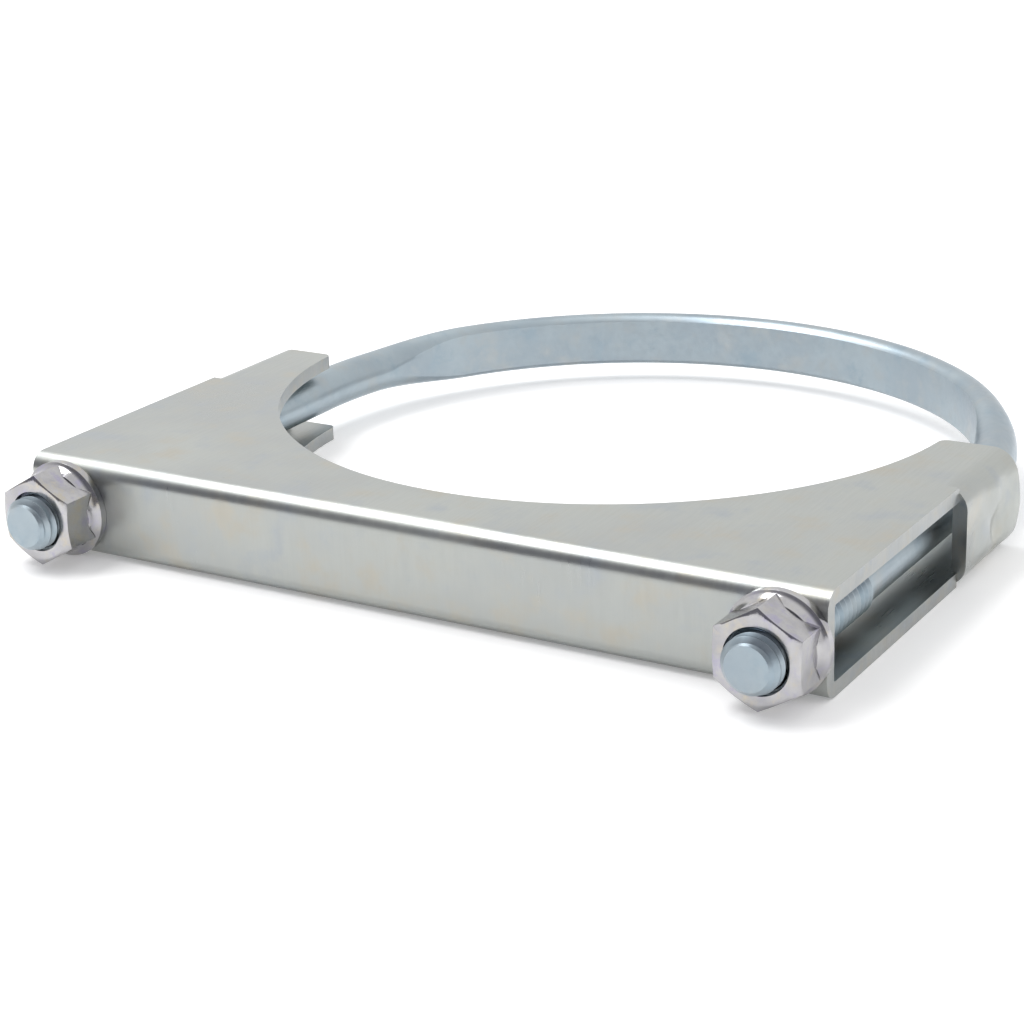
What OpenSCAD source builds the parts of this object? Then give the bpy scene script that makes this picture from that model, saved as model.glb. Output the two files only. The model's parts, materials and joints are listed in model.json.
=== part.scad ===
// Heavy exhaust clamp: a threaded U-bolt, a pressed saddle and two hex flange nuts.
// Millimetres. The origin is the clamped pipe's axis, half-way up the saddle.
// +Z runs along the pipe, +Y points at the U's crown and -Y at the nuts.

/* [Pipe and opening] */
// Outside diameter of the pipe that the clamp holds
pipe_d = 127; // [76:1:168]
// Room between the pipe and the saddle's arc, on the radius
seat_room = 0.25; // [0.1:0.05:1]
// Room between the saddle's arc and each leg, on the radius
leg_room = 0.15; // [0.1:0.05:2]
// Gap between the pipe and the U's crown at rest
crown_room = 0.1; // [0.05:0.05:12]

/* [U-bolt] */
// Diameter of the plain rod
shank_d = 8.2; // [6.4:0.1:9]
// Outside diameter of the thread
thread_d = 9.4; // [8.6:0.05:11.6]
// Distance from one thread to the next
thread_pitch = 1.5875; // [1:0.0005:2]
// Length of thread on each leg
thread_len = 36; // [24:1:42]
// How deep the thread is cut, on the radius
thread_depth = 0.86; // [0.4:0.02:1]
// Length of the taper where the thread runs out into the plain rod
thread_runout = 0.8; // [0.4:0.1:2]
// Chamfer on each leg's end
end_chamfer = 1.1; // [0.4:0.1:1.6]
// How far each leg stands out past its nut
stick_out = 3.1; // [0:0.1:10]
// Thickness of the flattened arc
band_t = 4.8; // [3.5:0.05:6.2]
// Height of the flattened arc
band_h = 10.8; // [8.8:0.1:14]
// Radius of the flattened arc's bulged long edges
band_edge_r = 3; // [2:0.1:4.2]
// Angle of arc beside each leg that stays round
round_angle = 13; // [2:1:15]
// Angle of arc over which the round rod turns into the flat band
flatten_angle = 20; // [8:1:30]

/* [Saddle] */
// Thickness of the saddle's sheet
sheet_t = 2.5; // [1.5:0.1:4]
// Room above and below the U between the two plates
channel_room = 0.7; // [0.35:0.05:3]
// Inside radius of the long bends
bend_in = 0.5; // [0.2:0.1:2.5]
// Width of sheet left between the arc and the web's outer face
neck = 14; // [10:0.05:30]
// How far the horns stop short of the pipe's centre line
horn_back = 3.3; // [1:0.1:20]
// Room between each thread and its strap
strap_room = 1.7; // [0.5:0.05:8]
// Radius on the horn tips
tip_r = 1.5; // [0.5:0.1:3]
// Length of the strap that joins the two horns
strap_len = 22.5; // [10:0.1:40]
// How far the strap stands out past the plates' side edges
strap_out = 1.5; // [0.6:0.1:3]
// Inside radius of the strap's two bends
strap_in = 1.5; // [0.5:0.1:2.5]
// Room round the thread in each web hole, on the radius
hole_room = 0.5; // [0.2:0.05:0.8]

/* [Flange nuts] */
// Width across the hexagon's flats
nut_af = 14.1; // [13:0.05:16]
// Overall height of a nut
nut_h = 8.5; // [7:0.1:11]
// Diameter of the flange
flange_d = 17; // [16.6:0.1:21]
// Thickness of the flange at its rim
flange_rim = 1.3; // [0.8:0.1:2]
// Height of the flange's cone above the rim
flange_cone = 1.4; // [0.5:0.1:2]
// Small chamfer round the flange's seat
flange_break = 0.3; // [0.1:0.05:0.5]
// Height of the chamfer on the hexagon's corners
hex_chamfer = 1.1; // [0.5:0.1:2]
// Depth of the countersink at the bore's outer end
bore_lead = 0.6; // [0.2:0.1:1]
// Running room between the nut's bore and the thread, on the radius
nut_room = 0.05; // [0.02:0.01:0.1]
// Gap left between the flange and the web
face_gap = 0.04; // [0.02:0.01:0.1]

/* [Hidden] */
$fn = 96;
seat_r = pipe_d / 2 + seat_room;
leg_x = seat_r + leg_room + shank_d / 2;
u_y = seat_r + crown_room + band_t / 2 - leg_x;
thread_r = thread_d / 2;
web_y = -(seat_r + neck);
end_y = web_y - face_gap - nut_h - stick_out;
plate_in = max(thread_d, band_h) / 2 + channel_room;
saddle_h = 2 * (plate_in + sheet_t);
bend_r = bend_in + sheet_t;
strap_r = strap_in + sheet_t;
horn_y = -horn_back;
strap_x = leg_x + thread_r + strap_room + sheet_t;
half_len = strap_x - strap_out;
strap_y = horn_y - strap_len;
hole_r = thread_r + hole_room;
bore_r = thread_r + nut_room;
hex_r = nut_af / 2 / cos(30);
thread_turns = floor(thread_len / thread_pitch) - 1;
thread_end = end_y + end_chamfer + (thread_turns + 0.5) * thread_pitch;
cross = 0.02; // how far the tip's fillet crosses the edges that it rounds
over = 1; // how far a cutter runs past the face that it cuts
hex_inset = 0.4; // how far inside the flats the hexagon's chamfer ends
cone_step = 0.2; // how far outside the flats the flange's cone ends
tip_y = horn_y - tip_r + cross;
tip_x = sqrt(pow(seat_r + tip_r - cross, 2) - pow(tip_y, 2));
tip_a = atan2(tip_y, tip_x);
edge_r = min(max(band_edge_r, band_t / 2 + 0.1), band_h / 2 - 0.1);
edge_lift = band_h / 2 - edge_r;
press_end = round_angle + flatten_angle;
ring_count = 14;
ring_sides = 32;

// One leg's outline from the axis outwards, drawn along +Y from the leg's end.
function thread_points() = [
  for (i = [0 : thread_turns - 1], k = [0 : 3])
    let (
      at = end_chamfer + (i + 0.5) * thread_pitch,
      step = [0, 0.4, 0.55, 0.95][k],
      deep = [0, 1, 1, 0][k]
    )
    [thread_r - deep * thread_depth, at + step * thread_pitch]
];

module leg_outline() {
  tail = thread_end - end_y;
  polygon(concat(
    [[0, 0], [thread_r - end_chamfer, 0], [thread_r, end_chamfer]],
    thread_points(),
    [[thread_r, tail], [shank_d / 2, tail + thread_runout], [shank_d / 2, u_y - end_y], [0, u_y - end_y]]
  ));
}

module leg() {
  translate([leg_x, end_y, 0])
    rotate([-90, 0, 0])
      rotate_extrude()
        leg_outline();
}

// The band's section: two flat faces, and long edges bulged by the pressing.
module band_section() {
  intersection() {
    square([band_t, 2 * band_h], center = true);
    union() {
      square([band_t, 2 * edge_lift], center = true);
      translate([0, edge_lift]) circle(r = edge_r, $fn = 48);
      translate([0, -edge_lift]) circle(r = edge_r, $fn = 48);
    }
  }
}

// The arc beside a leg: round at first, then pressed flat. Each ring is the section at one
// angle, a hair inside the exact rod and band that it joins. The arc's centre is below the
// pipe's, so a ring that isn't pressed yet is moved out to follow the pipe's own circle.
function part_way(k) = k <= 1 ? 0 : k >= ring_count - 2 ? 1 : (k - 1) / (ring_count - 3);
function eased(f) = f * f * (3 - 2 * f);
function ring_size(k) = k == 0 || k == ring_count - 1 ? 0.9 : 0.993;
function ring_angle(k) = part_way(k) * press_end + (k == ring_count - 1 ? 1 : 0);
function pressed(k) = eased(max(0, part_way(k) * press_end - round_angle) / flatten_angle);
function ring_points(k) =
  let (
    g = pressed(k),
    r = shank_d / 2 + g * (edge_r - shank_d / 2),
    lift = g * edge_lift,
    half = shank_d / 2 + g * (band_t - shank_d) / 2,
    turn = ring_angle(k),
    centre = leg_x - u_y * sin(turn) * (1 - g),
    back = k == 0 ? 1 : 0
  )
  [
    for (j = [0 : ring_sides - 1])
      let (
        a = 360 * j / ring_sides,
        x = centre + ring_size(k) * max(-half, min(half, r * cos(a))),
        z = ring_size(k) * (lift * sign(sin(a)) + r * sin(a))
      )
      [x * cos(turn), x * sin(turn) - back, z]
  ];

module flat_change() {
  n = ring_sides;
  last = (ring_count - 1) * n;
  sides = [
    for (k = [0 : ring_count - 2], j = [0 : n - 1], h = [0, 1])
      let (
        p = k * n + j,
        q = k * n + (j + 1) % n
      )
      h == 0 ? [p, q, q + n] : [p, q + n, p + n]
  ];
  polyhedron(
    points = [for (k = [0 : ring_count - 1]) each ring_points(k)],
    faces = concat(sides, [[for (j = [n - 1 : -1 : 0]) j], [for (j = [0 : n - 1]) last + j]])
  );
}

module u_bolt() {
  color([0.66, 0.71, 0.74]) {
    leg();
    mirror([1, 0, 0]) leg();
    translate([0, u_y, 0]) {
      rotate([0, 0, press_end])
        rotate_extrude(angle = 180 - 2 * press_end)
          translate([leg_x, 0]) band_section();
      flat_change();
      mirror([1, 0, 0]) flat_change();
    }
  }
}

// The channel's section in the YZ plane: web, two long bends and two plates.
module channel_section() {
  deep = -web_y + horn_y;
  straight = saddle_h / 2 - bend_r;
  translate([0, -straight]) square([sheet_t, 2 * straight]);
  for (s = [-1, 1])
    mirror([0, s < 0 ? 1 : 0]) {
      translate([bend_r, plate_in]) square([deep - bend_r, sheet_t]);
      intersection() {
        translate([0, straight]) square(bend_r);
        translate([bend_r, straight])
          difference() {
            circle(r = bend_r, $fn = 48);
            circle(r = bend_r - sheet_t, $fn = 48);
          }
      }
    }
}

// The saddle seen from above, with its round cut-out and rounded horn tips.
module plan() {
  difference() {
    translate([-half_len, web_y - over]) square([2 * half_len, over - web_y + horn_y]);
    circle(r = seat_r, $fn = 192);
    for (s = [0, 1]) mirror([s, 0]) tip_corner();
    for (s = [0, 1])
      mirror([s, 0])
        translate([strap_x - strap_r, strap_y]) square([strap_r, strap_len + over]);
  }
}

module tip_corner() {
  difference() {
    polygon([
      [tip_x, tip_y],
      [tip_x, horn_y + over],
      [tip_x - 2 * tip_r, horn_y + over],
      [(seat_r - over) * cos(tip_a), (seat_r - over) * sin(tip_a)]
    ]);
    translate([tip_x, tip_y]) circle(r = tip_r, $fn = 32);
  }
}

// The strap's section in the XZ plane, from the upper horn round to the lower one.
module strap_section() {
  straight = saddle_h / 2 - strap_r;
  translate([strap_x - sheet_t, -straight]) square([sheet_t, 2 * straight]);
  for (s = [-1, 1])
    mirror([0, s < 0 ? 1 : 0]) {
      translate([strap_x - strap_r - 0.5, plate_in]) square([0.5, sheet_t]);
      intersection() {
        translate([strap_x - strap_r, straight]) square(strap_r);
        translate([strap_x - strap_r, straight])
          difference() {
            circle(r = strap_r, $fn = 48);
            circle(r = strap_r - sheet_t, $fn = 48);
          }
      }
    }
}

module strap() {
  translate([0, horn_y, 0])
    rotate([90, 0, 0])
      linear_extrude(strap_len) strap_section();
}

module saddle() {
  color([0.70, 0.72, 0.71])
    difference() {
      union() {
        intersection() {
          translate([-half_len, web_y, 0])
            rotate([90, 0, 90])
              linear_extrude(2 * half_len) channel_section();
          translate([0, 0, -saddle_h]) linear_extrude(2 * saddle_h) plan();
        }
        strap();
        mirror([1, 0, 0]) strap();
      }
      for (s = [-1, 1])
        translate([s * leg_x, web_y - over, 0])
          rotate([-90, 0, 0])
            cylinder(r = hole_r, h = sheet_t + 2 * over);
    }
}

// A hex flange nut, drawn with its flange at the origin and its outer end up +Z.
module nut() {
  difference() {
    union() {
      intersection() {
        rotate([0, 0, 30]) cylinder(r = hex_r, h = nut_h, $fn = 6);
        rotate_extrude()
          polygon([
            [0, 0],
            [hex_r + over, 0],
            [hex_r + over, nut_h - hex_chamfer],
            [nut_af / 2 - hex_inset, nut_h],
            [0, nut_h]
          ]);
      }
      rotate_extrude()
        polygon([
          [0, 0],
          [flange_d / 2 - flange_break, 0],
          [flange_d / 2, flange_break],
          [flange_d / 2, flange_rim],
          [nut_af / 2 + cone_step, flange_rim + flange_cone],
          [0, flange_rim + flange_cone]
        ]);
    }
    translate([0, 0, -over]) cylinder(r = bore_r, h = nut_h + 2 * over);
    translate([0, 0, nut_h - bore_lead])
      cylinder(r1 = bore_r, r2 = bore_r + bore_lead + over, h = bore_lead + over);
  }
}

module placed_nut(x) {
  translate([x, web_y - face_gap, 0])
    rotate([90, 0, 0])
      nut();
}

module left_nut() {
  color([0.78, 0.78, 0.78]) placed_nut(-leg_x);
}

module right_nut() {
  color([0.78, 0.78, 0.78]) placed_nut(leg_x);
}

u_bolt();
saddle();
left_nut();
right_nut();
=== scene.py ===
import json
from math import acos, atan2, cos, hypot, pi, radians, sin

import bmesh
import bpy
from mathutils import Matrix, Vector


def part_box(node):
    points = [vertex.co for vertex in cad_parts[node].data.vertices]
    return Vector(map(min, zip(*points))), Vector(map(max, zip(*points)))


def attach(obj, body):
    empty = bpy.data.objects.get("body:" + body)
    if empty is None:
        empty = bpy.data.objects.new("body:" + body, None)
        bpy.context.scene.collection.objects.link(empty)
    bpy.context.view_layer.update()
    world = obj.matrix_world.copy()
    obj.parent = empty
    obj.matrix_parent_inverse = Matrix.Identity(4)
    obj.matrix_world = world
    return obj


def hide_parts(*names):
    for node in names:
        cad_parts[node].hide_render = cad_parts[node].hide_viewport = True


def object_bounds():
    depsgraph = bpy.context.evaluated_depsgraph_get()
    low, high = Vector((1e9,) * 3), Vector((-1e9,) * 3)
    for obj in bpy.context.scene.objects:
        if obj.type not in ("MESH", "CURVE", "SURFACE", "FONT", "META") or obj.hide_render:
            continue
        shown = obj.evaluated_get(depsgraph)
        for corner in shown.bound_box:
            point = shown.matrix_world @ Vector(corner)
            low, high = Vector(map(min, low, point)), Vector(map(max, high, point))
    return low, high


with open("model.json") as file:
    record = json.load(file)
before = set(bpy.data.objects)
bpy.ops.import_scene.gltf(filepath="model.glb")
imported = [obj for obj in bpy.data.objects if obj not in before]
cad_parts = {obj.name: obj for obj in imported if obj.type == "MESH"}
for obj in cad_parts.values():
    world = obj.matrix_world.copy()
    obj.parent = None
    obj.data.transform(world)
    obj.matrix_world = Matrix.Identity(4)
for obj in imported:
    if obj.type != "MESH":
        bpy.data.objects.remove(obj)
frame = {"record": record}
cad_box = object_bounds()
print("CAD box, mm:", [[round(1000 * c, 2) for c in corner] for corner in cad_box])

# %% [markdown]
# # A heavy exhaust clamp, built piece by piece
#
# The clamp has four real pieces: a U-bolt, a pressed saddle and two hex flange nuts. The packed
# model already holds their sizes and places, so every place below comes from its boxes. The
# frame's origin is the axis of the pipe that the clamp holds, half-way up the saddle.
# +Y points at the U's crown, -Y at the nuts and +Z along the pipe.

# %% Sizes read from the frame, and the few that a box can't give
mm = 0.001
touch = 1e-6  # metres: two places closer than this are the same place
seat_r = frame["record"]["mounts"][0]["dims"]["r_mm"] * mm
saddle_low, saddle_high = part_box("saddle")
bolt_low, bolt_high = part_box("u_bolt")
nut_low, nut_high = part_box("right_nut")

web_y, horn_y, strap_x = saddle_low.y, saddle_high.y, saddle_high.x
half_h = saddle_high.z
leg_x = (nut_low.x + nut_high.x) / 2
thread_r = bolt_high.x - leg_x
end_y = bolt_low.y
flange_r = nut_high.z

sheet = 2.5 * mm
bend_r = 3 * mm
bend_in = 0.5 * mm
strap_out = 1.5 * mm
strap_r = 4 * mm
strap_in = 1.5 * mm
strap_len = 22.5 * mm
tip_r = 1.5 * mm
hole_room = 0.5 * mm
shank_r = 4.1 * mm
band_t = 4.8 * mm
band_edge_r = 3 * mm
half_len = strap_x - strap_out
strap_y = horn_y - strap_len
u_y = bolt_high.y - leg_x - band_t / 2
print("seat", seat_r, "web", web_y, "horns", horn_y, "leg", leg_x, "thread", thread_r, "U centre", u_y)

# %% [markdown]
# ## The camera
#
# A product picture of a clamp like this is taken with a longish lens, from a little above the
# table and off to one side, so that the web, one open end and the top plate all show. The lens
# is set by its real focal length, and the camera looks at a point near the saddle's middle.
# Its place is worked out from three angles, which is how a tripod head is set.

# %% Camera
look_at = Vector((-15.8, -15.2, -13.1)) * mm
distance = 444 * mm
azimuth, elevation, roll = radians(-31.6), radians(19.6), radians(-2.0)
forward = Vector((sin(azimuth) * cos(elevation), cos(azimuth) * cos(elevation), -sin(elevation)))
camera_data = bpy.data.cameras.new("camera")
camera_data.lens = 83.7
camera_data.sensor_width = 36
camera_data.clip_start = 0.01
camera = bpy.data.objects.new("camera", camera_data)
bpy.context.scene.collection.objects.link(camera)
turn = forward.to_track_quat("-Z", "Y").to_matrix().to_4x4() @ Matrix.Rotation(roll, 4, "Z")
camera.matrix_world = Matrix.Translation(look_at - forward * distance) @ turn
bpy.context.scene.camera = camera
print("camera at, mm:", [round(1000 * c, 1) for c in camera.location])

# %% [markdown]
# ## Small tools for shaping
#
# Everything below is made the way it is made by hand: a primitive is added at its size and
# place, then shaped in edit mode. An operator works on whatever is selected, so each helper
# first deselects everything and then picks what it needs by its place.


# %% Helpers: select, add a block, add a round bar
def only(piece):
    """Selects one piece, and nothing else."""
    if bpy.context.object and bpy.context.object.mode != "OBJECT":
        bpy.ops.object.mode_set(mode="OBJECT")
    bpy.ops.object.select_all(action="DESELECT")
    piece.select_set(True)
    bpy.context.view_layer.objects.active = piece
    return piece


def settle(piece, name):
    """Names a piece and puts its place into its mesh, with its object at the origin."""
    piece.name = name
    piece.data.name = name
    only(piece)
    bpy.ops.object.transform_apply(location=True, rotation=True, scale=True)
    return piece


def pick(piece, test, kind="FACE"):
    """Enters edit mode with only the faces, edges or corners selected that pass the test."""
    only(piece)
    bpy.ops.object.mode_set(mode="EDIT")
    bpy.ops.mesh.select_mode(type=kind)
    bpy.ops.mesh.select_all(action="DESELECT")
    mesh = bmesh.from_edit_mesh(piece.data)
    elements = {"FACE": mesh.faces, "EDGE": mesh.edges, "VERT": mesh.verts}[kind]
    count = 0
    for element in elements:
        if test(element):
            element.select_set(True)
            count += 1
    mesh.select_flush_mode()
    bmesh.update_edit_mesh(piece.data)
    return count


def done():
    bpy.ops.object.mode_set(mode="OBJECT")


def middle(edge):
    return (edge.verts[0].co + edge.verts[1].co) / 2


def along(edge, axis):
    """True if an edge runs along an axis, 0 for X, 1 for Y and 2 for Z."""
    way = edge.verts[1].co - edge.verts[0].co
    return abs(way[axis]) > 0.99 * way.length


def near(a, b, room=1e-5):
    return abs(a - b) < room


def block(name, low, high):
    """A box between two corners."""
    low, high = Vector(low), Vector(high)
    bpy.ops.object.select_all(action="DESELECT")
    bpy.ops.mesh.primitive_cube_add(size=1, location=(low + high) / 2)
    bpy.context.object.scale = high - low
    return settle(bpy.context.object, name)


def bar(name, radius, start, end, axis="Y", sides=64, spin=0.0):
    """A round bar between two points that lie along one axis."""
    start, end = Vector(start), Vector(end)
    turned = {"X": (0, pi / 2, 0), "Y": (-pi / 2, 0, 0), "Z": (0, 0, 0)}[axis]
    bpy.ops.object.select_all(action="DESELECT")
    bpy.ops.mesh.primitive_cylinder_add(
        vertices=sides, radius=radius, depth=(end - start).length, location=(start + end) / 2
    )
    piece = bpy.context.object
    piece.data.transform(Matrix.Rotation(spin, 4, "Z"))
    piece.rotation_euler = turned
    return settle(piece, name)


def combine(piece, tool, how):
    """Cuts, joins or keeps the overlap of two closed solids, and removes the tool."""
    only(piece)
    cut = piece.modifiers.new("combine", "BOOLEAN")
    cut.operation = how
    cut.object = tool
    cut.solver = "MANIFOLD"
    bpy.ops.object.modifier_apply(modifier=cut.name)
    bpy.data.objects.remove(tool)
    return piece


def tell(piece):
    """Prints a piece's size and whether its mesh is closed."""
    mesh = bmesh.new()
    mesh.from_mesh(piece.data)
    open_edges = sum(1 for e in mesh.edges if len(e.link_faces) != 2)
    size = [round(1000 * d, 2) for d in piece.dimensions]
    volume = mesh.calc_volume(signed=True) * 1e9
    print(f"{piece.name}: {size} mm, {len(mesh.faces)} faces, {open_edges} open edges, {volume:.0f} mm3")
    mesh.free()


# %% [markdown]
# ## The saddle
#
# The real saddle starts as one flat sheet of 2.5 mm steel. A press shears its outline and the
# round cut-out, punches two holes, folds it into a channel and folds one strap round each open
# end. It could be made as a thin surface with a Solidify modifier, but the sheared edges and
# the corners at the straps are crisper when a solid block is hollowed out, so this way is used.
# First comes the outer shape: a block whose two long edges get the bend's outer radius.


# %% Saddle: outer block, with the bend's radius on its two long edges
def channel(name, inset, corner, reach):
    """The channel's outer or inner shape: a block with its two long web edges rounded."""
    piece = block(
        name,
        (-half_len - reach, web_y + inset, -half_h + inset),
        (half_len + reach, horn_y + reach, half_h - inset),
    )
    pick(
        piece,
        lambda e: along(e, 0) and near(middle(e).y, web_y + inset),
        "EDGE",
    )
    bpy.ops.mesh.bevel(offset=corner, offset_type="OFFSET", segments=10, profile=0.5)
    done()
    return piece


saddle = channel("saddle_pressed", 0, bend_r, 0)
tell(saddle)

# %% [markdown]
# The straps stand out past the plates' ends. Each is drawn as a short block with round corners
# that is joined to the channel, after the plates are cut back to where the strap's bends start.


# %% Saddle: the two straps
def strap_block(name, side, inset, corner, reach):
    """A strap's outer or inner shape at one end of the channel. side is 1 or -1."""
    near_x = strap_x - strap_r - 2 * reach
    far_x = strap_x - inset
    low_x, high_x = sorted((side * near_x, side * far_x))
    piece = block(
        name,
        (low_x, strap_y - reach, -half_h + inset),
        (high_x, horn_y + reach, half_h - inset),
    )
    pick(piece, lambda e: along(e, 1) and near(middle(e).x, side * far_x), "EDGE")
    bpy.ops.mesh.bevel(offset=corner, offset_type="OFFSET", segments=10, profile=0.5)
    done()
    return piece


for side in (-1, 1):
    low_x, high_x = sorted((side * (strap_x - strap_r), side * (strap_x + sheet)))
    room = block("room", (low_x, strap_y, -2 * half_h), (high_x, horn_y + sheet, 2 * half_h))
    combine(saddle, room, "DIFFERENCE")
    combine(saddle, strap_block("strap", side, 0, strap_r, 0), "UNION")
tell(saddle)

# %% Saddle: hollow out the channel and the straps
hollow = channel("hollow", sheet, bend_in, 2 * sheet)
for side in (-1, 1):
    low_x, high_x = sorted((side * (strap_x - sheet), side * 2 * strap_x))
    stop = block("stop", (low_x, strap_y, -2 * half_h), (high_x, 0, 2 * half_h))
    combine(hollow, stop, "DIFFERENCE")
    for level in (-1, 1):
        pick(
            hollow,
            lambda e: along(e, 1)
            and near(middle(e).x, side * (strap_x - sheet))
            and near(middle(e).z, level * (half_h - sheet)),
            "EDGE",
        )
        bpy.ops.mesh.bevel(offset=strap_in, offset_type="OFFSET", segments=6, profile=0.5)
        done()
combine(saddle, hollow, "DIFFERENCE")
tell(saddle)

# %% [markdown]
# The round cut-out is what the pipe lies in. One big round cutter makes it in both plates at
# once, as the press does. It is turned by half a facet so that no facet ends right at a horn's
# tip, and the tips are then rounded with a bevel. The web's two holes let the legs through.

# %% Saddle: round cut-out, horn tips and the web's holes
facets = 128
cutter = bar("pipe", seat_r, (0, 0, -2 * half_h), (0, 0, 2 * half_h), "Z", facets, pi / facets)
combine(saddle, cutter, "DIFFERENCE")
tip_x = (seat_r**2 - horn_y**2) ** 0.5
picked = pick(
    saddle,
    lambda e: along(e, 2) and near(middle(e).y, horn_y) and near(abs(middle(e).x), tip_x, 0.1 * mm),
    "EDGE",
)
bpy.ops.mesh.bevel(offset=tip_r, offset_type="OFFSET", segments=5, profile=0.5)
done()
for side in (-1, 1):
    at = side * leg_x
    drill = bar("drill", thread_r + hole_room, (at, web_y - sheet, 0), (at, web_y + 2 * sheet, 0))
    combine(saddle, drill, "DIFFERENCE")
print("horn edges rounded:", picked)
tell(saddle)

# %% [markdown]
# A strap that was folded in a press is never quite flat: its bends bulge and its face is
# pulled in a little. Flat faces can't bulge, so the straps are first cut into narrow strips
# with bisect, and then a few corners are pushed with proportional editing, which carries their
# neighbours along. The inner wall is within reach too, so the sheet keeps its thickness.


# %% Saddle: the straps' bulges and dents
def slice_straps(piece):
    """Cuts the straps' faces into narrow strips that can follow a push."""
    start_x = strap_x - strap_r - 2 * sheet
    strips_along, strips_up = 14, 7

    def in_strap(face):
        at = face.calc_center_median()
        return abs(at.x) > start_x - touch and at.y > strap_y - touch

    for axis, places in (
        (0, [s * start_x for s in (-1, 1)]),
        (1, [strap_y + strap_len * i / strips_along for i in range(1, strips_along)]),
        (2, [half_h * i / strips_up for i in range(1 - strips_up, strips_up)]),
    ):
        for place in places:
            flat = Vector((0, 0, 0))
            flat[axis] = 1
            pick(piece, lambda f: axis == 0 or in_strap(f))
            bpy.ops.mesh.bisect(plane_co=flat * place, plane_no=flat)
            done()


def push(piece, at, by, reach):
    """Pushes the corner nearest to a point, and with it what lies within reach."""
    at = Vector(at)
    nearest = min((v.co - at).length for v in piece.data.vertices)
    pick(piece, lambda v: (v.co - at).length < nearest + 1e-7, "VERT")
    bpy.ops.transform.translate(
        value=by,
        use_proportional_edit=True,
        proportional_edit_falloff="SMOOTH",
        proportional_size=reach,
    )
    done()


slice_straps(saddle)
tell(saddle)
# Each push: how far along the strap, how high, how far outwards (a dent is negative), and reach.
strap_pushes = (
    (strap_len, 0, 1.0 * mm, 9 * mm),
    (13 * mm, 4 * mm, 0.6 * mm, 5 * mm),
    (15 * mm, -2 * mm, -0.9 * mm, 5 * mm),
    (5 * mm, -1 * mm, -0.5 * mm, 5 * mm),
    (9 * mm, -4 * mm, 0.4 * mm, 4 * mm),
)
for side in (-1, 1):
    for forwards, height, outwards, reach in strap_pushes:
        at = (side * strap_x, strap_y + forwards, height)
        push(saddle, at, (side * outwards, 0, 0), reach)

# %% [markdown]
# Sheared sheet has edges that are almost sharp, and a thin line of light runs along them. A
# narrow bevel on every edge that is sharper than 40 degrees gives that line, and weighted
# normals keep the wide faces flat beside it.


# %% Soften the edges of a piece
def soften(piece, width, segments=2, limit=40):
    only(piece)
    bevel = piece.modifiers.new("edges", "BEVEL")
    bevel.width = width
    bevel.segments = segments
    bevel.limit_method = "ANGLE"
    bevel.angle_limit = radians(limit)
    bevel.use_clamp_overlap = True
    bpy.ops.object.modifier_apply(modifier=bevel.name)
    bpy.ops.object.shade_smooth_by_angle(angle=radians(limit))
    normals = piece.modifiers.new("normals", "WEIGHTED_NORMAL")
    normals.keep_sharp = True
    bpy.ops.object.modifier_apply(modifier=normals.name)


soften(saddle, 0.22 * mm)
tell(saddle)

# %% [markdown]
# ## The U-bolt
#
# The real U-bolt is a rolled rod, bent round a former and then squashed flat round its arc, so
# that it grips the pipe with a wide face. The rod could be a curve with a bevel, but a curve
# has one section all the way. So a ring of corners is extruded up one leg, spun round the arc
# and extruded down the other leg, and the rings on the arc are then pressed to the flat
# section. Each ring keeps four corners where the flat faces end, so the edges stay crisp. The
# first stretch beside each leg stays round. The arc's centre is a little below the pipe's, so
# that stretch is moved out to follow the pipe's own circle, or it would cut into the pipe.

# %% U-bolt: one round rod, up a leg, round the arc and down the other leg
ring_sides = 40
arc_steps = 150
thread_len = 35.2 * mm
thread_end = end_y + thread_len
bpy.ops.object.select_all(action="DESELECT")
bpy.ops.mesh.primitive_circle_add(
    vertices=ring_sides, radius=shank_r, location=(leg_x, thread_end, 0), rotation=(pi / 2, 0, 0)
)
rod = settle(bpy.context.object, "rod")
pick(rod, lambda v: True, "VERT")
bpy.ops.mesh.extrude_region_move(TRANSFORM_OT_translate={"value": (0, u_y - thread_end, 0)})
bpy.ops.mesh.spin(steps=arc_steps, angle=-pi, center=(0, u_y, 0), axis=(0, 0, 1))
bpy.ops.mesh.extrude_region_move(TRANSFORM_OT_translate={"value": (0, thread_end - u_y, 0)})
done()
tell(rod)

# %% U-bolt: press the arc's rings flat
stay_round = radians(13)
flatten = radians(20)
flat_cuts = 6
arc_cuts = ring_sides // 2 - flat_cuts
least = radians(4)
edge_lift = bolt_high.z - band_edge_r


def ring_point(index, pressed):
    """Corner number index of a ring, outwards and upwards from the rod's centre line."""
    r = shank_r + pressed * (band_edge_r - shank_r)
    lift = pressed * edge_lift
    half = shank_r + pressed * (band_t / 2 - shank_r)
    corner = max(least, acos(min(1, half / r)))
    half_ring = ring_sides // 2
    side = 1
    index = (index + flat_cuts // 2) % ring_sides
    if index >= half_ring:
        index, side = index - half_ring, -1
    if index <= flat_cuts:
        part = 2 * index / flat_cuts - 1
        return side * r * cos(corner), side * part * (lift + r * sin(corner))
    angle = corner + (pi - 2 * corner) * (index - flat_cuts) / arc_cuts
    return side * r * cos(angle), side * (lift + r * sin(angle))


def eased(part):
    part = max(0, min(1, part))
    return part * part * (3 - 2 * part)


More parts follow.
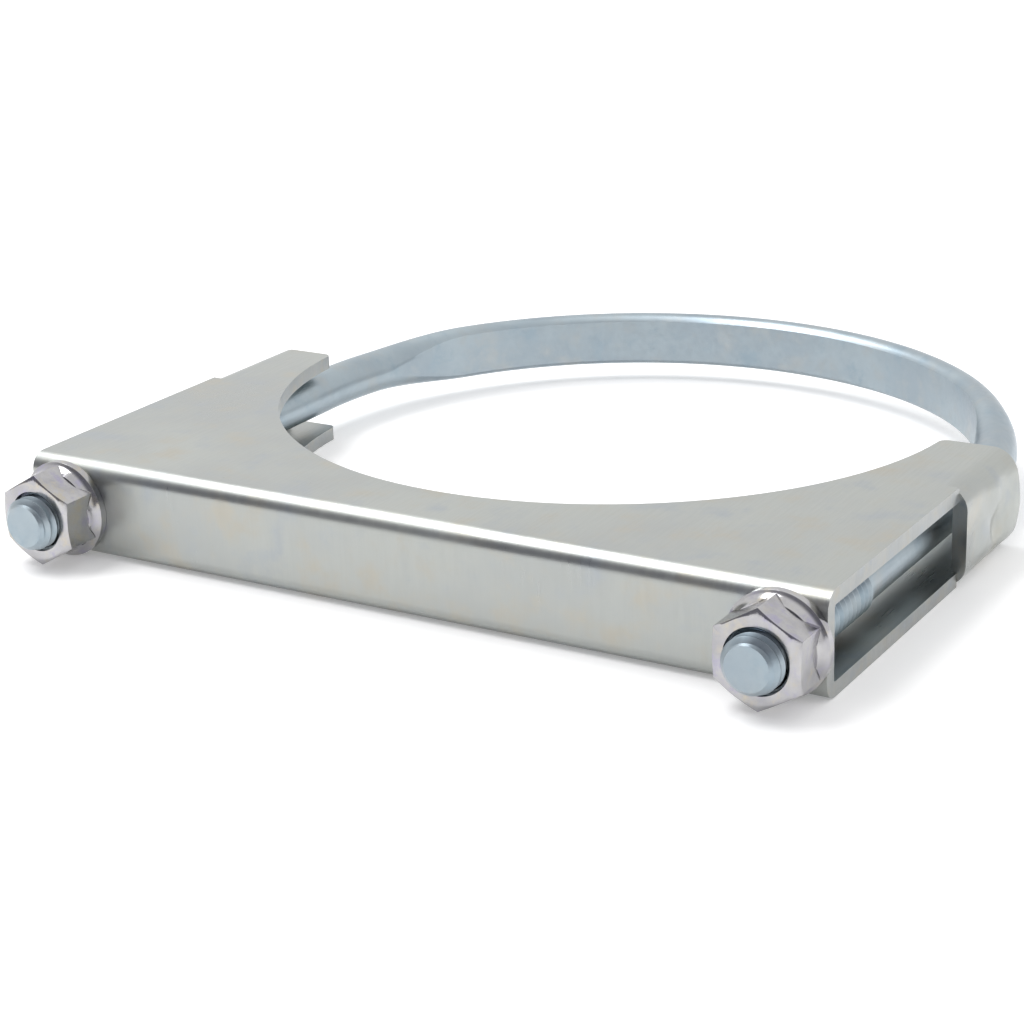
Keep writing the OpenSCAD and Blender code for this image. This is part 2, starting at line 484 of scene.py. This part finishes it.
for corner in rod.data.vertices:
    x, y, z = corner.co
    turn = max(0, min(pi, atan2(y - u_y, x)))
    if y < u_y + touch:
        turn = 0 if x > 0 else pi
    outwards = (hypot(x, y - u_y) if 0 < turn < pi else abs(x)) - leg_x
    index = round(atan2(z, outwards) / (2 * pi) * ring_sides) % ring_sides
    pressed = eased((min(turn, pi - turn) - stay_round) / flatten)
    out, up = ring_point(index, pressed)
    reach = leg_x - u_y * sin(turn) * (1 - pressed) + out
    corner.co = (reach * cos(turn), y if turn in (0, pi) else u_y + reach * sin(turn), up)
pick(rod, lambda f: True)
bpy.ops.mesh.select_all(action="SELECT")
bpy.ops.mesh.fill_holes(sides=0)
bpy.ops.mesh.normals_make_consistent(inside=False)
done()
tell(rod)

# %% [markdown]
# The thread is a true helix. One tooth's outline is drawn up the rod, and the Screw modifier
# turns it round the leg, climbing one pitch each turn. Its two ragged ends are filled and then
# trimmed by a round bar with chamfered ends, which leaves the tapered first thread of a real
# bolt. A row of rings would look much the same, but its turns would not meet the nut's.

# %% U-bolt: the two threads
pitch = 1.5875 * mm
depth = 0.86 * mm
end_chamfer = 1.1 * mm
tooth = ((0, 1), (0.1, 1), (0.44, 0.12), (0.5, 0), (0.6, 0), (0.66, 0.12), (1, 1))


def thread(name):
    """A threaded stud with closed ends, standing along +Y from the origin."""
    bpy.ops.object.select_all(action="DESELECT")
    bpy.ops.mesh.primitive_plane_add(size=pitch)
    bpy.ops.object.mode_set(mode="EDIT")
    bpy.ops.mesh.select_mode(type="VERT")
    bpy.ops.mesh.select_all(action="SELECT")
    bpy.ops.mesh.merge(type="CENTER")
    bpy.ops.transform.translate(value=(thread_r - depth, 0, 0))
    for (at, deep), (next_at, next_deep) in zip(tooth, tooth[1:]):
        step = ((deep - next_deep) * depth, (next_at - at) * pitch, 0)
        bpy.ops.mesh.extrude_region_move(TRANSFORM_OT_translate={"value": step})
    done()
    stud = settle(bpy.context.object, name)
    screw = stud.modifiers.new("thread", "SCREW")
    screw.axis = "Y"
    screw.angle = 2 * pi
    screw.screw_offset = pitch
    screw.iterations = round(thread_len / pitch) + 3
    screw.steps = 40
    screw.render_steps = 40
    screw.use_merge_vertices = True
    screw.merge_threshold = touch
    bpy.ops.object.modifier_apply(modifier=screw.name)
    bpy.ops.object.mode_set(mode="EDIT")
    bpy.ops.mesh.select_all(action="SELECT")
    bpy.ops.mesh.remove_doubles(threshold=touch)
    bpy.ops.mesh.fill_holes(sides=0)
    bpy.ops.mesh.normals_make_consistent(inside=False)
    done()
    return stud


def trimmed_stud(side):
    """One leg's thread, in its place, with its two ends trimmed."""
    stud = thread("stud")
    tell(stud)
    stud.location = (side * leg_x, end_y - 1.5 * pitch, 0)
    settle(stud, "stud")
    wide = thread_r + 0.3 * mm
    at = side * leg_x
    trim = bar("trim", wide, (at, end_y, 0), (at, thread_end + 1.0 * mm, 0), sides=96)
    for place, cut in ((end_y, end_chamfer + 0.3 * mm), (thread_end + 1.0 * mm, 1.2 * mm)):
        pick(trim, lambda e: near(middle(e).y, place) and near(e.verts[0].co.y, e.verts[1].co.y), "EDGE")
        bpy.ops.mesh.bevel(offset=cut, offset_type="OFFSET", segments=1)
        done()
    return combine(stud, trim, "INTERSECT")


for side in (-1, 1):
    combine(rod, trimmed_stud(side), "UNION")
bolt = settle(rod, "u_bolt_pressed")
tell(bolt)
only(bolt)
bpy.ops.object.shade_smooth_by_angle(angle=radians(24))

# %% [markdown]
# ## The flange nuts
#
# A flange nut is forged as a hexagon on a round washer-like flange, and its outer end is turned
# to a shallow cone, which leaves the curved lines at the corners. Both nuts are the same, so
# one is modelled and copied. The hexagon is a six-sided cylinder cut by a cone, and the
# flange is extruded up from a round disc in small steps that follow its hollow fillet.

# %% Nut: hexagon, cone and flange
seat_y = nut_high.y
top_y = nut_low.y
flat_r = 7.05 * mm
hex_r = flat_r / cos(pi / 6)
rim = 1.3 * mm
bore_r = thread_r + 0.05 * mm


def hexagon():
    """The hexagon, with its outer end turned to a shallow cone."""
    low, high = (leg_x, top_y, 0), (leg_x, seat_y - rim / 2, 0)
    piece = bar("right_nut_forged", hex_r, low, high, sides=6)
    cone_h = 6 * mm
    slope = 2.3
    inset = 0.4 * mm
    small = flat_r - inset
    bpy.ops.object.select_all(action="DESELECT")
    bpy.ops.mesh.primitive_cone_add(
        vertices=96,
        radius1=small + slope * 2 * cone_h,
        radius2=small,
        depth=2 * cone_h,
        location=(leg_x, top_y + cone_h, 0),
        rotation=(pi / 2, 0, 0),
    )
    return combine(piece, settle(bpy.context.object, "cone"), "INTERSECT")


def flange():
    """The flange, whose hollow fillet climbs in small steps to the hexagon."""
    piece = bar("flange", flange_r, (leg_x, seat_y - rim, 0), (leg_x, seat_y, 0), sides=96)
    pick(piece, lambda f: f.normal.y < -0.9)
    centre = Vector((leg_x, seat_y - rim, 0))
    radius, height = flange_r, 0
    fillet = ((8.2, 0.2), (7.92, 0.45), (7.68, 0.8), (7.46, 1.25), (7.28, 1.85))
    for next_radius, next_height in fillet:
        next_radius, next_height = next_radius * mm, next_height * mm
        bpy.ops.mesh.extrude_region_move(
            TRANSFORM_OT_translate={"value": (0, height - next_height, 0)}
        )
        share = next_radius / radius
        bpy.ops.transform.resize(value=(share, 1, share), center_override=centre)
        radius, height = next_radius, next_height
    done()
    return piece


right_nut = combine(hexagon(), flange(), "UNION")
lead = 0.6 * mm
bore = bar("bore", bore_r, (leg_x, top_y + lead, 0), (leg_x, seat_y + 5 * mm, 0), sides=64)
pick(bore, lambda f: f.normal.y < -0.9)
bpy.ops.mesh.extrude_region_move(TRANSFORM_OT_translate={"value": (0, -2 * lead, 0)})
share = (bore_r + 2 * lead) / bore_r
bpy.ops.transform.resize(value=(share, 1, share), center_override=(leg_x, top_y - lead, 0))
done()
combine(right_nut, bore, "DIFFERENCE")
tell(right_nut)
soften(right_nut, 0.25 * mm, 3, 28)
tell(right_nut)

# %% Nut: the left one is a copy with its own mesh
left_nut = right_nut.copy()
left_nut.data = right_nut.data.copy()
bpy.context.scene.collection.objects.link(left_nut)
left_nut.location = (-2 * leg_x, 0, 0)
settle(left_nut, "left_nut_forged")
tell(left_nut)

# %% [markdown]
# ## Zinc finishes
#
# All four pieces are zinc plated, and each tank leaves its own look: the pressed sheet is
# satin, with faint yellow and blue clouds, the rod is cooler and the nuts are brighter. One
# node group makes the clouds, with the colours as its inputs, and a second makes the fine
# scratches that rolling and handling leave. Each material places both with its own values.


# %% Node group helpers
def new_group(name, inputs, outputs):
    """A shader node group with named inputs and outputs."""
    group = bpy.data.node_groups.new(name, "ShaderNodeTree")
    for label, kind, value in inputs:
        socket = group.interface.new_socket(name=label, in_out="INPUT", socket_type=kind)
        if value is not None:
            socket.default_value = value
    for label, kind in outputs:
        group.interface.new_socket(name=label, in_out="OUTPUT", socket_type=kind)
    return group


def add(tree, kind, **settings):
    node = tree.nodes.new(kind)
    for key, value in settings.items():
        setattr(node, key, value)
    return node


def noise(tree, place, scale, detail=3.0, rough=0.5):
    node = add(tree, "ShaderNodeTexNoise")
    node.inputs["Detail"].default_value = detail
    node.inputs["Roughness"].default_value = rough
    tree.links.new(place, node.inputs["Vector"])
    if isinstance(scale, (int, float)):
        node.inputs["Scale"].default_value = scale
    else:
        tree.links.new(scale, node.inputs["Scale"])
    return node.outputs["Fac"]


def spread(tree, value, low, high, new_low=0.0, new_high=1.0):
    """Stretches a value from one range to another, and clamps it."""
    node = add(tree, "ShaderNodeMapRange", interpolation_type="SMOOTHSTEP")
    for key, number in zip(("From Min", "From Max", "To Min", "To Max"), (low, high, new_low, new_high)):
        node.inputs[key].default_value = number
    tree.links.new(value, node.inputs["Value"])
    return node.outputs["Result"]


def blend(tree, share, first, second):
    """Mixes two colours. Either may be a socket or a plain colour."""
    node = add(tree, "ShaderNodeMix", data_type="RGBA")
    tree.links.new(share, node.inputs["Factor"])
    for socket, value in ((node.inputs[6], first), (node.inputs[7], second)):
        if isinstance(value, tuple):
            socket.default_value = (*value, 1)
        else:
            tree.links.new(value, socket)
    return node.outputs[2]


# %% Node group: the clouds of a zinc plating bath
def zinc_clouds():
    group = new_group(
        "zinc clouds",
        [
            ("Vector", "NodeSocketVector", None),
            ("Scale", "NodeSocketFloat", 60.0),
            ("Light", "NodeSocketColor", None),
            ("Dark", "NodeSocketColor", None),
            ("Warm", "NodeSocketColor", None),
            ("Cool", "NodeSocketColor", None),
        ],
        [("Color", "NodeSocketColor"), ("Cloud", "NodeSocketFloat")],
    )
    inside = add(group, "NodeGroupInput").outputs
    outside = add(group, "NodeGroupOutput").inputs
    broad = noise(group, inside["Vector"], inside["Scale"], 4, 0.55)
    double = add(group, "ShaderNodeMath", operation="MULTIPLY")
    double.inputs[1].default_value = 2.3
    group.links.new(inside["Scale"], double.inputs[0])
    fine = noise(group, inside["Vector"], double.outputs[0], 5, 0.6)
    base = blend(group, spread(group, broad, 0.35, 0.65), inside["Dark"], inside["Light"])
    warmed = blend(group, spread(group, fine, 0.5, 0.72), base, inside["Warm"])
    cooled = blend(group, spread(group, fine, 0.48, 0.28), warmed, inside["Cool"])
    group.links.new(cooled, outside["Color"])
    group.links.new(broad, outside["Cloud"])
    return group


# %% Node group: fine lines that run one way
def fine_lines():
    group = new_group(
        "fine lines",
        [("Vector", "NodeSocketVector", None), ("Stretch", "NodeSocketVector", None)],
        [("Lines", "NodeSocketFloat")],
    )
    inside = add(group, "NodeGroupInput").outputs
    outside = add(group, "NodeGroupOutput").inputs
    scaled = add(group, "ShaderNodeVectorMath", operation="MULTIPLY")
    group.links.new(inside["Vector"], scaled.inputs[0])
    group.links.new(inside["Stretch"], scaled.inputs[1])
    group.links.new(noise(group, scaled.outputs[0], 1.0, 3, 0.6), outside["Lines"])
    return group


clouds = zinc_clouds()
lines = fine_lines()


# %% The zinc material, with its own values for each piece
def zinc(name, light, dark, warm, cool, cloud_scale, stretch, rough, line_depth, grain):
    """A plated steel: cloudy colour, fine lines in one direction and a soft grain."""
    material = bpy.data.materials.new(name)
    material.use_nodes = True
    tree = material.node_tree
    shader = tree.nodes["Principled BSDF"]
    place = add(tree, "ShaderNodeTexCoord").outputs["Object"]
    cloud = add(tree, "ShaderNodeGroup", node_tree=clouds)
    tree.links.new(place, cloud.inputs["Vector"])
    cloud.inputs["Scale"].default_value = cloud_scale
    for key, colour in (("Light", light), ("Dark", dark), ("Warm", warm), ("Cool", cool)):
        cloud.inputs[key].default_value = (*colour, 1)
    line = add(tree, "ShaderNodeGroup", node_tree=lines)
    tree.links.new(place, line.inputs["Vector"])
    line.inputs["Stretch"].default_value = stretch
    tree.links.new(cloud.outputs["Color"], shader.inputs["Base Color"])
    shader.inputs["Metallic"].default_value = 1.0
    speck = noise(tree, place, grain, 2, 0.5)
    mixed = add(tree, "ShaderNodeMath", operation="ADD")
    tree.links.new(spread(tree, cloud.outputs["Cloud"], 0.3, 0.7, rough[0], rough[1]), mixed.inputs[0])
    tree.links.new(spread(tree, line.outputs["Lines"], 0.3, 0.7, -0.04, 0.04), mixed.inputs[1])
    tree.links.new(mixed.outputs[0], shader.inputs["Roughness"])
    height = add(tree, "ShaderNodeMath", operation="ADD")
    tree.links.new(line.outputs["Lines"], height.inputs[0])
    tree.links.new(spread(tree, speck, 0.2, 0.8, 0.0, 0.5), height.inputs[1])
    bump = add(tree, "ShaderNodeBump")
    bump.inputs["Strength"].default_value = 1.0
    bump.inputs["Distance"].default_value = line_depth
    tree.links.new(height.outputs[0], bump.inputs["Height"])
    tree.links.new(bump.outputs["Normal"], shader.inputs["Normal"])
    return material


saddle_zinc = zinc(
    "satin zinc",
    light=(0.42, 0.435, 0.415), dark=(0.385, 0.40, 0.39),
    warm=(0.425, 0.41, 0.36), cool=(0.37, 0.395, 0.41),
    cloud_scale=45, stretch=(3500, 160, 160), rough=(0.30, 0.38), line_depth=0.005 * mm, grain=2200,
)
edge_zinc = zinc(
    "sheared zinc",
    light=(0.42, 0.43, 0.42), dark=(0.35, 0.365, 0.365),
    warm=(0.42, 0.41, 0.37), cool=(0.36, 0.385, 0.405),
    cloud_scale=160, stretch=(2500, 2500, 150), rough=(0.32, 0.42), line_depth=0.008 * mm, grain=2500,
)
bolt_zinc = zinc(
    "rod zinc",
    light=(0.37, 0.43, 0.465), dark=(0.315, 0.37, 0.41),
    warm=(0.37, 0.405, 0.42), cool=(0.30, 0.37, 0.42),
    cloud_scale=70, stretch=(900, 900, 900), rough=(0.33, 0.40), line_depth=0.0012 * mm, grain=1500,
)
nut_zinc = zinc(
    "bright zinc",
    light=(0.47, 0.465, 0.47), dark=(0.37, 0.365, 0.38),
    warm=(0.48, 0.445, 0.38), cool=(0.38, 0.365, 0.45),
    cloud_scale=160, stretch=(1200, 1200, 1200), rough=(0.12, 0.20), line_depth=0.0015 * mm, grain=1800,
)

# %% Give each piece its finish and its body, and hide the CAD node that it stands for
for piece, body, node, slot, material in (
    (saddle, "saddle", "saddle", "saddle_zinc", saddle_zinc),
    (bolt, "u_bolt", "u_bolt", "bolt_zinc", bolt_zinc),
    (left_nut, "left_nut", "left_nut", "nut_zinc", nut_zinc),
    (right_nut, "right_nut", "right_nut", "nut_zinc", nut_zinc),
):
    piece.data.materials.clear()
    piece.data.materials.append(material)
    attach(piece, body)
    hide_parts(node)


# %% The saddle's sheared edges have their own finish
def is_sheared(face):
    """True on a wall that shears cut: the ends, the straps' front edges, the cut-out and the horns'
    backs.
    """
    at, way = face.center, face.normal
    if abs(way.z) > 0.8:
        return False
    if near(abs(at.x), half_len, 0.1 * mm) and abs(way.x) > 0.8:
        return True
    if near(at.y, horn_y, 0.1 * mm) and way.y > 0.8:
        return True
    if near(at.y, strap_y, 0.1 * mm) and way.y < -0.8:
        return True
    return near(hypot(at.x, at.y), seat_r, 0.1 * mm)


saddle.data.materials.append(edge_zinc)
sheared = 0
for face in saddle.data.polygons:
    if is_sheared(face):
        face.material_index = 1
        sheared += 1
print("sheared faces:", sheared)

# %% [markdown]
# ## Floor and light
#
# A plated clamp shows little of its own colour: what is seen is the room, mirrored. A white
# floor, a pale sky and one big soft lamp overhead give the calm greys of the plates and the
# bright line along the bend. The floor glows a little, as paper on a light table does, which
# keeps the shadows soft. The sky is darker on the nuts' side, which gives them a dark tone to
# mirror.

# %% Floor
bpy.ops.object.select_all(action="DESELECT")
floor_size, floor_gap, floor_glow = 12, 0.05 * mm, 0.22
bpy.ops.mesh.primitive_plane_add(size=floor_size, location=(0, 0, cad_box[0].z - floor_gap))
floor = bpy.context.object
floor.name = "floor"
paper = bpy.data.materials.new("white paper")
paper.use_nodes = True
finish = paper.node_tree.nodes["Principled BSDF"].inputs
finish["Base Color"].default_value = (0.93, 0.93, 0.93, 1)
finish["Roughness"].default_value = 0.9
finish["Emission Color"].default_value = (1, 1, 1, 1)
finish["Emission Strength"].default_value = floor_glow
floor.data.materials.append(paper)


# %% Lamps and sky
def lamp(name, at, target, width, height, power):
    data = bpy.data.lights.new(name, "AREA")
    data.shape = "RECTANGLE"
    data.size = width
    data.size_y = height
    data.energy = power
    light = bpy.data.objects.new(name, data)
    bpy.context.scene.collection.objects.link(light)
    at, target = Vector(at), Vector(target)
    turn = (target - at).to_track_quat("-Z", "Y").to_matrix().to_4x4()
    light.matrix_world = Matrix.Translation(at) @ turn


lamp("overhead", at=(-0.5, -0.08, 0.95), target=(0, 0, 0), width=0.9, height=0.5, power=7)
world = bpy.data.worlds.new("sky")
bpy.context.scene.world = world
world.use_nodes = True
sky = world.node_tree
backdrop = sky.nodes["Background"]
way = add(sky, "ShaderNodeSeparateXYZ")
sky.links.new(add(sky, "ShaderNodeTexCoord").outputs["Generated"], way.inputs[0])
share = spread(sky, way.outputs["Y"], -0.7, -0.15)
sky.links.new(blend(sky, share, (0.22, 0.22, 0.25), (1.0, 1.0, 1.0)), backdrop.inputs["Color"])
backdrop.inputs["Strength"].default_value = 1.05
bpy.context.scene.view_settings.view_transform = "Standard"
